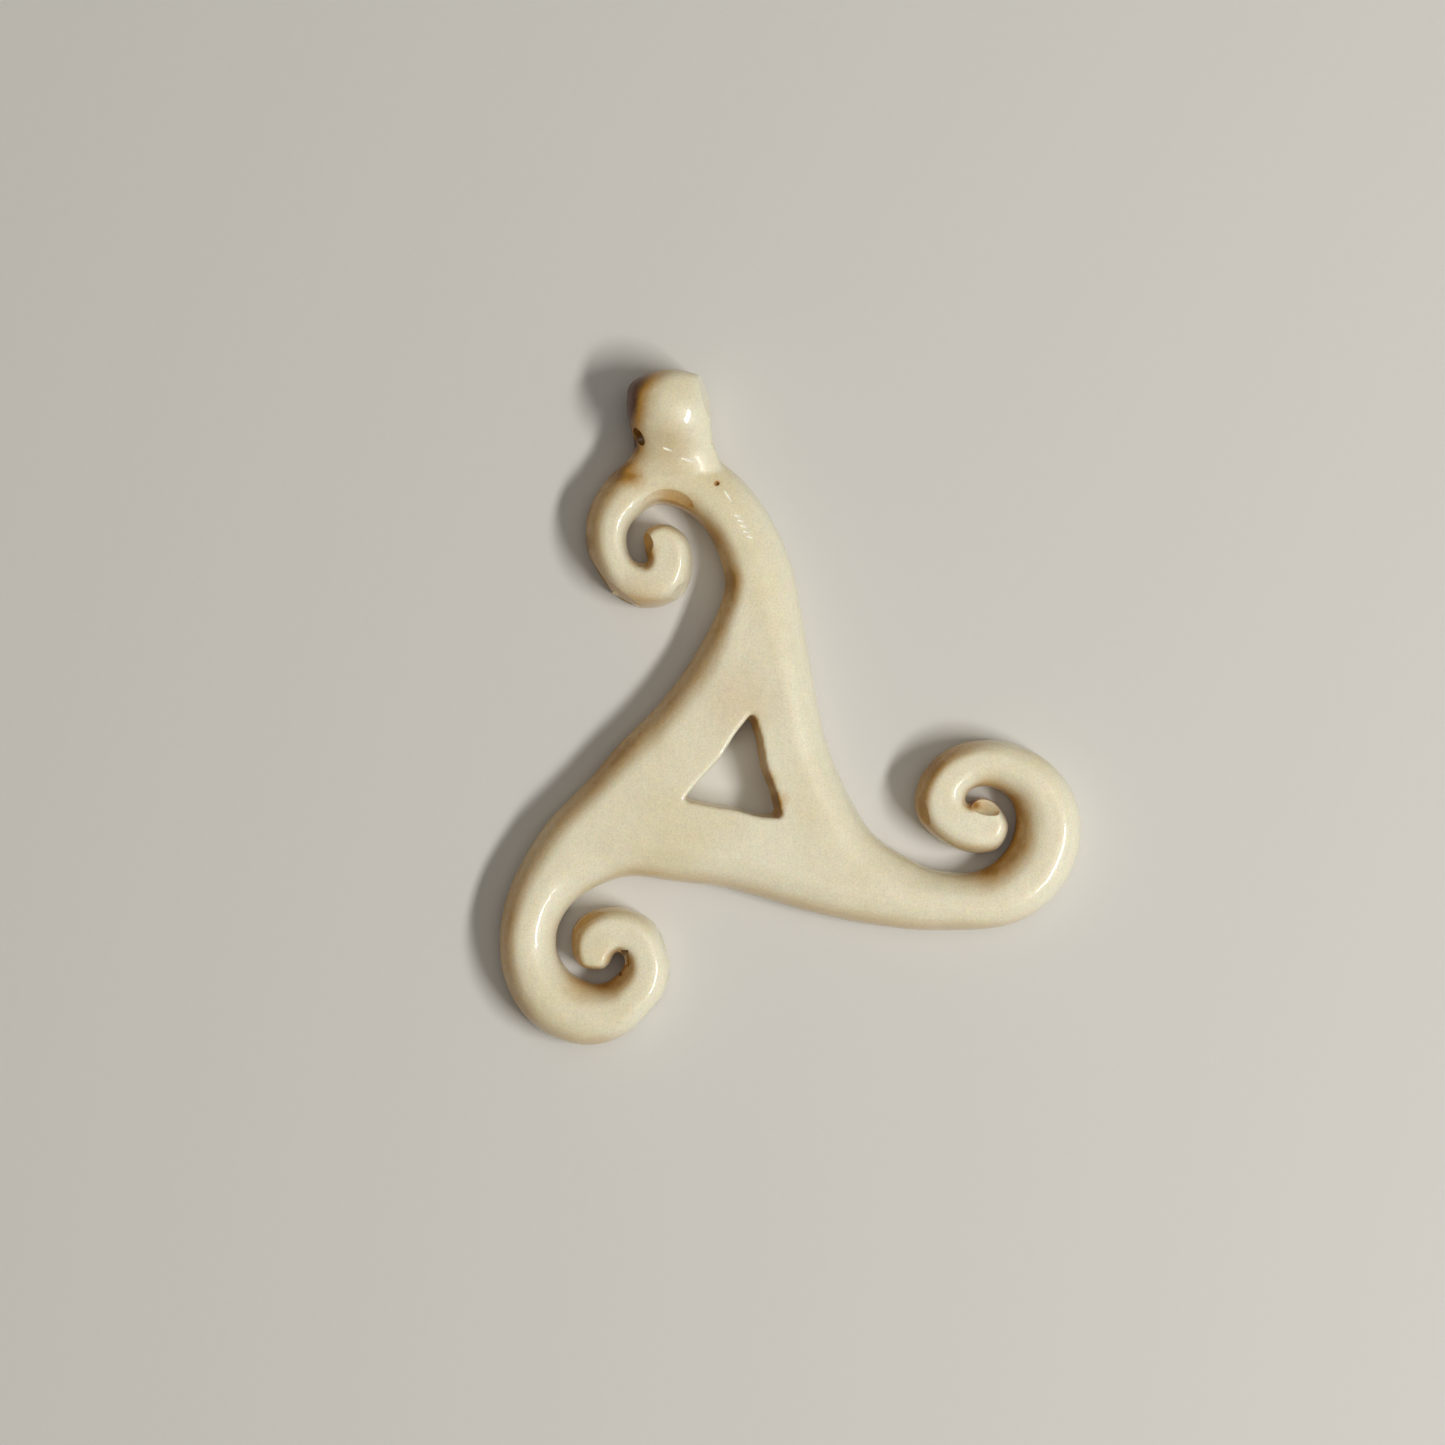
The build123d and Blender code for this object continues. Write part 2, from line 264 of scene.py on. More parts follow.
class Graph:
    """A material's nodes, built by calls instead of by hand."""

    def __init__(self, name: str) -> None:
        """Makes a material that holds only a Principled shader and its output.

        Args:
            name: The material's name.
        """
        self.material = bpy.data.materials.new(name)
        self.material.use_nodes = True
        self.tree = self.material.node_tree
        self.shader = self.tree.nodes["Principled BSDF"]

    @cached_property
    def place(self) -> Value:
        """The point of the surface, in millimetres."""
        metres = Value(self, self.node("ShaderNodeTexCoord", {}, {}).outputs["Object"])
        return self.vector("MULTIPLY", metres, (1 / MM, 1 / MM, 1 / MM))

    @cached_property
    def flat(self) -> Value:
        """The point of the surface in millimetres, with its height left out."""
        return self.vector("MULTIPLY", self.place, (1.0, 1.0, 0.0))

    @cached_property
    def facing(self) -> Value:
        """The way that the surface faces."""
        return Value(self, self.node("ShaderNodeNewGeometry", {}, {}).outputs["Normal"])

    def node(self, kind: str, settings: dict[str, object], inputs: dict) -> bpy.types.Node:
        """Adds a node, sets it and then feeds its sockets.

        Args:
            kind: The node's type.
            settings: Properties to set first, such as an operation.
            inputs: Values or links for its input sockets, by name or number.

        Returns:
            The new node.
        """
        made = self.tree.nodes.new(kind)
        for name, value in settings.items():
            setattr(made, name, value)
        for key, value in inputs.items():
            self.feed(made.inputs[key], value)
        return made

    def feed(self, socket: bpy.types.NodeSocket, value: object) -> None:
        """Links a Value to a socket, or sets the socket to a plain value.

        Args:
            socket: The input socket.
            value: What goes in.
        """
        if isinstance(value, Value):
            self.tree.links.new(value.socket, socket)
        else:
            socket.default_value = value

    def surface(self, inputs: dict[str, object]) -> None:
        """Feeds the shader's sockets, by their names."""
        for name, value in inputs.items():
            self.feed(self.shader.inputs[name], value)

    def maths(self, operation: str, *values: Value | float) -> Value:
        """Adds a Math node.

        Args:
            operation: The node's operation.
            values: Its inputs in order.

        Returns:
            The node's result.
        """
        node = self.node("ShaderNodeMath", {"operation": operation}, dict(enumerate(values)))
        return Value(self, node.outputs[0])

    def vector(self, operation: str, *values: object) -> Value:
        """Adds a Vector Math node.

        Args:
            operation: The node's operation.
            values: Its inputs in order.

        Returns:
            The node's result, a number for DOT_PRODUCT and DISTANCE.
        """
        node = self.node("ShaderNodeVectorMath", {"operation": operation}, dict(enumerate(values)))
        number = operation in ("DOT_PRODUCT", "DISTANCE")
        return Value(self, node.outputs["Value" if number else "Vector"])

    def blend(self, mask: Value | float, below: object, above: object) -> Value:
        """Mixes two colours.

        Args:
            mask: How much of the second colour shows.
            below: The first colour.
            above: The second colour.

        Returns:
            The mixed colour.
        """
        settings = {"data_type": "RGBA", "clamp_factor": True}
        node = self.node("ShaderNodeMix", settings, {0: mask, 6: below, 7: above})
        return Value(self, node.outputs[2])

    def noise(self, pattern: Noise) -> Value:
        """Adds a Noise Texture.

        Args:
            pattern: What the noise is like.

        Returns:
            A number that swings evenly below and above 0.
        """
        place = self.place
        if pattern.stretch:
            turn = (0.0, 0.0, pattern.turn)
            inputs = {"Vector": place, "Scale": pattern.stretch, "Rotation": turn}
            place = Value(self, self.node("ShaderNodeMapping", {}, inputs).outputs["Vector"])
        inputs = {
            "Vector": place,
            "Scale": pattern.waves,
            "Detail": pattern.layers,
            "Roughness": pattern.rough,
        }
        texture = self.node("ShaderNodeTexNoise", {}, inputs)
        return (Value(self, texture.outputs["Fac"]) - 0.5) * pattern.strength

    def attribute(self, layer: Layer) -> Value:
        """Reads one of the values that the mesh carries."""
        node = self.node("ShaderNodeAttribute", {"attribute_name": layer.value}, {})
        return Value(self, node.outputs["Fac"])

    def bump(self, relief: Value, depth: float, strength: float) -> None:
        """Lets a fine relief show in the surface.

        Args:
            relief: The relief's height.
            depth: How deep it goes, in metres, for each unit of its height.
            strength: How much of it shows, from 0 to 1.
        """
        inputs = {"Strength": strength, "Distance": depth, "Height": relief}
        node = self.node("ShaderNodeBump", {}, inputs)
        self.surface({"Normal": Value(self, node.outputs["Normal"])})


@dataclass(frozen=True)
class StainAndShadePatch:
    """A patch where the bone is darker or paler: some are its own stains, many are painted shade,
    and the paler ones in the right coil's pocket are painted light.

    Lengths are millimetres: across and up place its middle and radius is its size. depth
    is how much darker it is than the bone round it, below 0 for a paler patch, and ragged
    is how uneven its edge is.
    """

    across: float
    up: float
    radius: float
    depth: float
    ragged: float = 0.5

    def strength(self, graph: Graph, mottle: Value) -> Value:
        """Works out how strongly the patch colours each point.

        Args:
            graph: The material's nodes.
            mottle: A fine noise that breaks up the edge.

        Returns:
            The patch's depth at its middle, and 0 outside it.
        """
        away = graph.flat.away_from((self.across, self.up, 0.0))
        edge = away + mottle * (self.radius * self.ragged)
        return edge.ramp(self.radius, 0.0) * self.depth


# Patches of colour. Some are the bone's own stains, such as the dark dots in the two pits; many
# are painted shade, and two are painted light, as marked below.
STAIN_AND_SHADE_PATCHES = (
    # The first two, paler, are painted light in the right coil's pocket.
    StainAndShadePatch(18.5, -8.4, 2.4, -0.35),
    StainAndShadePatch(17.8, -11.0, 2.2, -0.10),
    StainAndShadePatch(14.6, -12.4, 2.2, 0.12),
    # The next four are painted shade on the slopes down into the top coil's gap and on the upper
    # arm's left flank.
    StainAndShadePatch(-8.9, 15.5, 1.3, 0.40),
    StainAndShadePatch(-7.6, 14.9, 1.5, 0.45),
    StainAndShadePatch(-5.8, 12.4, 1.4, 0.40),
    StainAndShadePatch(-4.7, 9.4, 1.6, 0.45),
    StainAndShadePatch(-1.6, -5.2, 1.0, 0.55),
    StainAndShadePatch(-0.9, -6.8, 1.1, 0.75),
    StainAndShadePatch(-5.4, 16.55, 0.34, 1.5),
    # Painted shade on the upper left of the top coil, below the knob.
    StainAndShadePatch(-11.6, 17.0, 1.5, 0.9),
    StainAndShadePatch(-15.2, -20.4, 2.0, 0.55),
    StainAndShadePatch(-13.3, -18.3, 1.1, 0.45),
    StainAndShadePatch(-12.55, -19.6, 0.2, 1.5),
    StainAndShadePatch(-4.0, 0.6, 4.2, 0.28),
    StainAndShadePatch(-10.3, 11.6, 0.9, 0.60),
    StainAndShadePatch(13.55, -7.15, 0.75, 1.20),
    StainAndShadePatch(14.3, -7.2, 0.9, 0.65),
    StainAndShadePatch(10.2, -4.0, 1.6, 0.30),
    # The next seven are painted shade on the knob's left side and top-left edge, in the mouth of
    # its cord hole and along the top coil's upper left edge.
    StainAndShadePatch(-11.9, 23.6, 2.3, 1.00),
    StainAndShadePatch(-12.0, 21.4, 2.0, 1.20),
    StainAndShadePatch(-11.6, 19.6, 1.3, 1.30),
    StainAndShadePatch(-10.6, 24.6, 1.8, 0.45),
    StainAndShadePatch(-13.2, 18.0, 1.8, 0.60),
    StainAndShadePatch(-15.6, 14.8, 1.4, 0.70),
    StainAndShadePatch(-15.4, 12.2, 1.2, 0.60),
    StainAndShadePatch(-8.8, 19.2, 3.0, 0.30),
    # Painted shade on the top coil's lower edge.
    StainAndShadePatch(-11.2, 8.4, 2.4, 0.34),
    # Painted shade on the knob's left edge.
    StainAndShadePatch(-12.7, 22.6, 2.0, 1.50),
    # Painted shade on the left coil's lower edge.
    StainAndShadePatch(-14.1, -25.0, 1.6, 0.25),
)


@dataclass(frozen=True)
class Tint:
    """A colour that comes out in the bone, and how much of it each sign brings."""

    paint: Paint
    weights: dict[Sign, float]

    def share(self, signs: dict[Sign, Value | float]) -> Value:
        """Adds up the signs that bring this colour out."""
        return sum(signs[sign] * weight for sign, weight in self.weights.items())


@dataclass(frozen=True)
class PolishedBone:
    """Cream bone under a glossy surface, browned by stains and by aged brown in its hollows, with
    painted light where it faces the window and painted shade where it faces away, towards its
    foot, on its left side and in its hollows.

    bark is the honey that lies everywhere, and the share after it is how much of it the recesses
    hold, partly as the bone's aged brown and partly as painted shade.
    mottling is how far the fine unevenness changes the tone. The gloss is coat where the
    bone is rubbed, and falls to the share shaded_gloss on the shaded walls and spot_gloss
    at dull_spot, a place in millimetres that clears up between spot_core and spot_rim.
    glow is how much light sinks in, and glow_depth how far.
    """

    name: str = Skin.POLISHED.value
    cream: Paint = linear(236, 230, 205)
    # Ivory: the broad and fine unevenness and the steep places, plus painted shade on the
    # pendant's left side.
    ivory: Tint = Tint(
        linear(222, 208, 164),
        {Sign.CLOUD: 0.45, Sign.MOTTLE: 0.5, Sign.WALL: 0.35, Sign.LEFT_SIDE: 0.3},
    )
    # Painted light: a paler tint on places that face the window.
    painted_light: Tint = Tint(linear(230, 228, 207), {Sign.LIT: 0.7})
    # Honey: the tone everywhere, the stains, the uneven walls and the recesses' aged brown, plus
    # painted shade on walls that turn from the window, on walls that face the foot, in the
    # recesses and in the shade patches.
    honey: Tint = Tint(
        linear(196, 146, 62),
        {
            Sign.STAIN: 0.8,
            Sign.SHADE: 0.9,
            Sign.RECESS: 0.45,
            Sign.FOOTWARD: 0.4,
            Sign.EVERYWHERE: 1.0,
            Sign.UNEVEN_WALL: 0.3,
        },
    )
    # Umber: the deepest of the same, much of it painted shade on the walls most turned from the
    # window and in the darkest shade patches.
    umber: Tint = Tint(
        linear(98, 54, 10),
        {Sign.DEEP_SHADE: 0.8, Sign.DEEP_RECESS: 0.3, Sign.DEEP_STAIN: 0.9},
    )
    bark: float = 0.0
    # Share of honey in the recesses, partly the bone's own aged brown and partly painted shade.
    recess_patina_and_shade: float = 1.0
    mottling: float = 0.17
    cloud: Noise = Noise(waves=0.16, layers=3.0)
    mottle: Noise = Noise(waves=1.7, layers=5.0, rough=0.65)
    streak: Noise = Noise(1.0, 4.0, rough=0.6, stretch=(5.0, 0.7, 2.0), strength=0.10)
    speck: Noise = Noise(waves=7.0, layers=2.0, strength=0.36)
    haze: Noise = Noise(waves=0.8, layers=4.0, rough=0.6, strength=0.2)
    scratch: Noise = Noise(1.0, 3.0, stretch=(9.0, 1.1, 3.0), turn=0.5, strength=0.3)
    pore: Noise = Noise(waves=6.0, layers=3.0, strength=0.5)
    swell: Noise = Noise(waves=1.1, layers=1.0, strength=1.6)
    relief_depth: float = 0.04 * MM
    relief_strength: float = 0.5
    roughness: float = 0.42
    refraction: float = 1.54
    coat: float = 0.55
    coat_roughness: float = 0.04
    shaded_gloss: float = 0.15
    dull_spot: Place = (-6.35, 17.95, 0.0)
    spot_core: float = 0.4
    spot_rim: float = 2.0
    spot_gloss: float = 0.2
    glow: float = 0.45
    glow_depth: float = 0.9 * MM
    glow_spread: Place = (1.0, 0.55, 0.22)

    def make(self) -> bpy.types.Material:
        """Builds the material.

        Returns:
            The finished material.
        """
        graph = Graph(self.name)
        graph.surface({"Base Color": self.colour(graph)})
        self.polish(graph)
        self.mark(graph)
        return graph.material

    def signs(self, graph: Graph) -> dict[Sign, Value | float]:
        """Reads off the surface what changes the bone's colour.

        Args:
            graph: The material's nodes.

        Returns:
            How strong each sign is at each point, mostly from 0 to 1.
        """
        cloud = graph.noise(self.cloud)
        mottle = graph.noise(self.mottle)
        away_from_window = graph.facing.along(SHADED)
        wall = graph.facing.along(UP).ramp(0.95, 0.15)
        # Painted shade: walls that face away from the window are browned.
        shade = away_from_window.ramp(0.06, 0.75) * (0.85 + cloud + mottle * 0.5)
        # Recess browning: partly the bone's own aged brown, partly painted shade.
        recess = graph.attribute(Layer.HOLLOW).ramp(0.35, 1.0) * (0.75 + mottle) * self.recess_patina_and_shade
        # Stains, with patches of painted shade and painted light.
        stain_and_shade = sum(stain_and_shade.strength(graph, mottle) for stain_and_shade in STAIN_AND_SHADE_PATCHES)
        return {
            Sign.EVERYWHERE: self.bark,
            Sign.CLOUD: cloud.ramp(-0.15, 0.25),
            Sign.MOTTLE: mottle,
            Sign.WALL: wall,
            Sign.UNEVEN_WALL: wall * mottle,
            # Painted light on places that face the window; painted shade on walls that face away
            # from it, on walls that face the foot and on the pendant's left side.
            Sign.LIT: away_from_window.ramp(-0.08, -0.60),
            Sign.SHADE: shade,
            Sign.FOOTWARD: graph.facing.along(FOOTWARD).ramp(0.45, 1.0),
            Sign.LEFT_SIDE: graph.place.along(LEFTWARD).ramp(-12.0, 22.0),
            Sign.RECESS: recess,
            Sign.STAIN: stain_and_shade,
            Sign.DEEP_SHADE: shade.ramp(0.5, 1.0),
            Sign.DEEP_RECESS: recess * recess,
            Sign.DEEP_STAIN: stain_and_shade - 0.7,
        }

    def colour(self, graph: Graph) -> Value:
        """Layers ivory, the paler painted light, honey and umber over the cream; ivory, honey and
        umber also carry painted shade.

        Args:
            graph: The material's nodes.

        Returns:
            The base colour.
        """
        signs = self.signs(graph)
        tone = self.cream
        for tint in (self.ivory, self.painted_light, self.honey, self.umber):
            tone = graph.blend(tint.share(signs), tone, tint.paint)
        grain = 1.0 + graph.noise(self.streak) + graph.noise(self.speck)
        return graph.vector("MULTIPLY", tone, grain + signs[Sign.MOTTLE] * self.mottling)

    def polish(self, graph: Graph) -> None:
        """Sets the gloss and the glow below the surface.

        Args:
            graph: The material's nodes.
        """
        rubbed = graph.facing.along(SHADED).ramp(0.75, 0.15).lifted(self.shaded_gloss)
        spot = graph.flat.away_from(self.dull_spot)
        clear = spot.ramp(self.spot_core, self.spot_rim).lifted(self.spot_gloss)
        graph.surface({
            "Roughness": self.roughness + graph.noise(self.haze),
            "IOR": self.refraction,
            "Coat Weight": self.coat * (rubbed * clear),
            "Coat Roughness": self.coat_roughness,
            "Subsurface Weight": self.glow,
            "Subsurface Radius": self.glow_spread,
            "Subsurface Scale": self.glow_depth,
        })

    def mark(self, graph: Graph) -> None:
        """Adds the tools' fine scratches, the bone's pores and the hand's soft swells."""
        relief = graph.noise(self.scratch) + graph.noise(self.pore) + graph.noise(self.swell)
        graph.bump(relief, self.relief_depth, self.relief_strength)


@dataclass(frozen=True)
class PaleBoard:
    """The plain matt board that the pendant lies on."""

    name: str = "pale_board"
    tone: Paint = linear(214, 212, 207)
    roughness: float = 0.8
    tooth: Noise = Noise(waves=0.9, layers=3.0)
    tooth_depth: float = 0.1 * MM
    tooth_strength: float = 0.15

    def make(self) -> bpy.types.Material:
        """Builds the material.

        Returns:
            The finished material.
        """
        graph = Graph(self.name)
        graph.surface({"Base Color": self.tone, "Roughness": self.roughness})
        graph.bump(graph.noise(self.tooth), self.tooth_depth, self.tooth_strength)
        return graph.material


@dataclass(frozen=True)
class Facet:
    """A flat bevel that a knife leaves along an edge.

    Lengths are millimetres and angles degrees: across and up are a point near the edge,
    foot is the height where the bevel starts on the wall below, facing is the bearing that
    it faces, tilt is how far it leans back, width runs along the edge and bite is how far
    it is pressed into the wall.
    """

    across: float
    up: float
    foot: float
    facing: float
    tilt: float
    width: float
    bite: float = 0.0
    skin: Skin = Skin.WHITTLED
    depth: float = 0.5
    above: float = 3.6

    def outward(self) -> Vector:
        """The level direction that the bevel faces."""
        turn = math.radians(self.facing)
        return Vector((math.cos(turn), math.sin(turn), 0.0))

    def touch(self, piece: bpy.types.Object) -> Vector:
        """Feels for the wall of the piece from outside.

        Args:
            piece: The piece that is about to be cut.

        Returns:
            The point of the wall at the bevel's foot, pressed in by the bite.
        """
        near = Vector((self.across, self.up, self.foot)) * MM
        start = near + self.outward() * FEELER
        hit, place, _, _ = piece.ray_cast(start, -self.outward(), distance=2 * FEELER)
        if not hit:
            raise ValueError(f"no wall for the bevel at {self.across}, {self.up}")
        return place - self.outward() * self.bite * MM

    def blade(self, piece: bpy.types.Object) -> bpy.types.Object:
        """Makes the shape that the knife takes away, standing on the facet.

        Args:
            piece: The piece that is about to be cut.

        Returns:
            The closed shape, in its place.
        """
        place = self.touch(piece)
        middle = self.depth / 2 * MM
        waist = self.above / 2 * MM
        back = math.tan(math.radians(self.tilt)) * self.above * MM
        bpy.ops.object.select_all(action="DESELECT")
        bpy.ops.mesh.primitive_cube_add(size=MM)
        blade = bpy.context.active_object
        bpy.ops.object.mode_set(mode="EDIT")
        bpy.ops.mesh.select_all(action="SELECT")
        bpy.ops.transform.resize(value=(self.depth, self.width, self.above))
        bpy.ops.transform.translate(value=(middle, 0.0, waist))
        bpy.ops.mesh.select_mode(type="VERT")
        bpy.ops.mesh.select_all(action="DESELECT")
        bpy.ops.object.mode_set(mode="OBJECT")
        for vertex in blade.data.vertices:
            vertex.select = vertex.co.x < middle and vertex.co.z > waist
        bpy.ops.object.mode_set(mode="EDIT")
        bpy.ops.transform.translate(value=(-back, 0.0, 0.0))
        bpy.ops.object.mode_set(mode="OBJECT")
        blade.rotation_euler = (0.0, 0.0, math.radians(self.facing))
        blade.location = place
        return blade


FACETS = (
    Facet(-13.10, -18.45, 2.5, 5, 22, 1.2, 0.03, Skin.WHITTLED, 0.4),
    Facet(-7.95, 8.36, 2.2, -42, 18, 2.6, 0.04, Skin.PARED),
    Facet(-6.28, 23.0, 2.9, 15, 12, 4.0, 0.02, Skin.PARED),
    Facet(-9.20, -17.6, 0.3, 20, 2, 3.2, 0.06, Skin.POLISHED),
    Facet(-9.20, -20.3, 0.3, -14, 2, 3.2, 0.06, Skin.POLISHED),
    Facet(-10.30, -22.4, 0.3, -42, 2, 3.2, 0.06, Skin.POLISHED),
    Facet(-14.20, 9.90, 0.3, 213, 2, 3.4, 0.06, Skin.POLISHED),
    Facet(-12.20, 8.05, 0.3, 243, 2, 3.4, 0.06, Skin.POLISHED),
)


@dataclass(frozen=True)
class RimBevel:
    """A crescent that a knife bevels along a curved rim.

    Lengths are millimetres and angles degrees: across, up and radius are the rim's curve,
    foot is the height where the bevel starts, facing is the bearing of its widest place,
    lean is how far it leans back there and fade is how far round it runs out on either
    side. A bevel round a gap has gap set. The blade is above high and depth thick, comes in
    from ease outside the rim and runs on by overrun past either end, in so many steps.
    """

    across: float
    up: float
    radius: float
    foot: float
    facing: float
    lean: float
    fade: float
    gap: bool = False
    skin: Skin = Skin.WHITTLED
    above: float = 2.6
    depth: float = 0.7
    ease: float = 0.12
    overrun: float = 3.0
    steps: int = 28

    def recession(self, bearing: float) -> float:
        """Works out how far the bevel has leant back at its top.

        Args:
            bearing: The bearing from its widest place, in radians.

        Returns:
            The distance in millimetres, below 0 past either end.
        """
        end = math.cos(math.radians(self.fade))
        share = (math.cos(bearing) - end) / (1 - end)
        return share * math.tan(math.radians(self.lean)) * self.above

    def blade(self, piece: bpy.types.Object) -> bpy.types.Object:
        """Spins the knife's outline along the rim and leans it back.

        Args:
            piece: The piece that is about to be cut.

        Returns:
            The closed shape, in its place.
        """
        side = -1.0 if self.gap else 1.0
        far = self.radius + side * self.depth
        foot = self.radius + side * self.ease
        profile = ((foot, 0.0), (far, 0.0), (self.radius, self.above), (far, self.above))
        bpy.ops.object.select_all(action="DESELECT")
        bpy.ops.mesh.primitive_plane_add(size=MM)
        blade = bpy.context.active_object
        for vertex, place in zip(blade.data.vertices, profile):
            vertex.co = Vector((place[0], 0.0, place[1])) * MM
        sweep = 2 * math.radians(self.fade + self.overrun)
        blade.rotation_euler = (0.0, 0.0, -sweep / 2)
        bpy.ops.object.transform_apply(location=False, rotation=True, scale=False)
        bpy.ops.object.mode_set(mode="EDIT")
        bpy.ops.mesh.select_all(action="SELECT")
        bpy.ops.mesh.spin(steps=self.steps, angle=-sweep, center=(0, 0, 0), axis=UP)
        bpy.ops.mesh.select_all(action="SELECT")
        bpy.ops.mesh.normals_make_consistent(inside=False)
        bpy.ops.object.mode_set(mode="OBJECT")
        middle = (self.radius + far) / 2 * MM
        for vertex in blade.data.vertices:
            flat = Vector((vertex.co.x, vertex.co.y, 0.0))
            near = side * (flat.length - middle) < 0
            if near and vertex.co.z > self.above / 2 * MM:
                back = self.recession(math.atan2(flat.y, flat.x)) * MM
                vertex.co -= flat.normalized() * side * back
        blade.rotation_euler = (0.0, 0.0, math.radians(self.facing))
        blade.location = Vector((self.across, self.up, self.foot)) * MM
        return blade


RIM_BEVELS = (
    RimBevel(12.22, -6.86, 3.02, 2.4, 194, 28, 57),
    RimBevel(-12.83, -18.24, 3.53, 2.5, 105, 17, 72),
    RimBevel(-9.63, 12.82, 5.33, 2.4, 222, 15, 42),
    RimBevel(-9.26, 12.12, 3.06, 3.0, 82, 42, 66, True),
    RimBevel(-6.77, 12.20, 4.00, 2.5, 182, 23, 17),
)


@dataclass(frozen=True)
class Scoop:
    """A small hollow: a pit, a scratch or the worn mouth of the cord hole.

    Lengths are millimetres: across and up place its middle, rise is how far that lies above
    the skin there, wide, long and deep are its half sizes and turn is its bearing. One by
    the edge of a gap, with no skin below its middle, has its height given as level, and
    lean is how far it tips towards the gap, in degrees. sides is how round the burr is.
    """

    across: float
    up: float
    rise: float
    wide: float
    long: float
    deep: float
    turn: float = 0.0
    skin: Skin = Skin.WHITTLED
    level: float = 0.0
    lean: float = 0.0
    sides: int = 24

    def middle(self, piece: bpy.types.Object) -> Vector:
        """Feels for the skin of the piece from above.

        Args:
            piece: The piece that is about to be cut.

        Returns:
            The middle of the hollow.
        """
        if self.level:
            return Vector((self.across, self.up, self.level)) * MM
        above = Vector((self.across * MM, self.up * MM, 2 * cad_high[2]))
        hit, place, _, _ = piece.ray_cast(above, -UP)
        if not hit:
            raise ValueError(f"no skin for the hollow at {self.across}, {self.up}")
        return place + UP * self.rise * MM

    def blade(self, piece: bpy.types.Object) -> bpy.types.Object:
        """Makes the egg-shaped burr that leaves the hollow.

        Args:
            piece: The piece that is about to be cut.

        Returns:
            The closed burr, in its place.
        """
        place = self.middle(piece)
        bpy.ops.object.select_all(action="DESELECT")
        rings = self.sides // 2
        bpy.ops.mesh.primitive_uv_sphere_add(segments=self.sides, ring_count=rings, radius=MM)
        burr = bpy.context.active_object
        bpy.ops.object.mode_set(mode="EDIT")
        bpy.ops.mesh.select_all(action="SELECT")
        bpy.ops.transform.resize(value=(self.wide, self.long, self.deep))
        bpy.ops.object.mode_set(mode="OBJECT")
        burr.rotation_euler = (math.radians(-self.lean), 0.0, math.radians(self.turn))
        burr.location = place
        return burr


SCOOPS = (
    Scoop(-5.43, 16.55, 0.08, 0.26, 0.18, 0.22, 25),
    Scoop(-12.54, -19.59, 0.02, 0.10, 0.10, 0.2),
    Scoop(-11.15, 19.95, -0.35, 0.74, 0.33, 1.50, -62),
    Scoop(14.60, -6.82, 0.00, 1.60, 1.30, 0.90, -6, Skin.PARED, 4.05, 44),
    # The next eight are fine grooves: two lines in the neck's crease, a streak and five tool
    # ticks; their near-white skin is a painted glint.
    Scoop(-9.00, 18.97, 0.04, 0.42, 0.11, 0.13, -20, Skin.SCRAPED),
    Scoop(-7.45, 18.20, 0.03, 0.95, 0.13, 0.13, -15, Skin.SCRAPED),
    Scoop(-4.61, 15.63, 0.03, 0.64, 0.11, 0.10, -56, Skin.SCRAPED),
    Scoop(-3.83, 14.11, 0.03, 0.34, 0.10, 0.09, -12, Skin.SCRAPED),
    Scoop(-3.62, 13.74, 0.03, 0.32, 0.10, 0.09, -12, Skin.SCRAPED),
    Scoop(-3.40, 13.34, 0.03, 0.34, 0.10, 0.09, -12, Skin.SCRAPED),
    Scoop(-3.22, 12.94, 0.03, 0.30, 0.10, 0.09, -12, Skin.SCRAPED),
    Scoop(-2.94, 12.56, 0.03, 0.34, 0.10, 0.09, -12, Skin.SCRAPED),
)


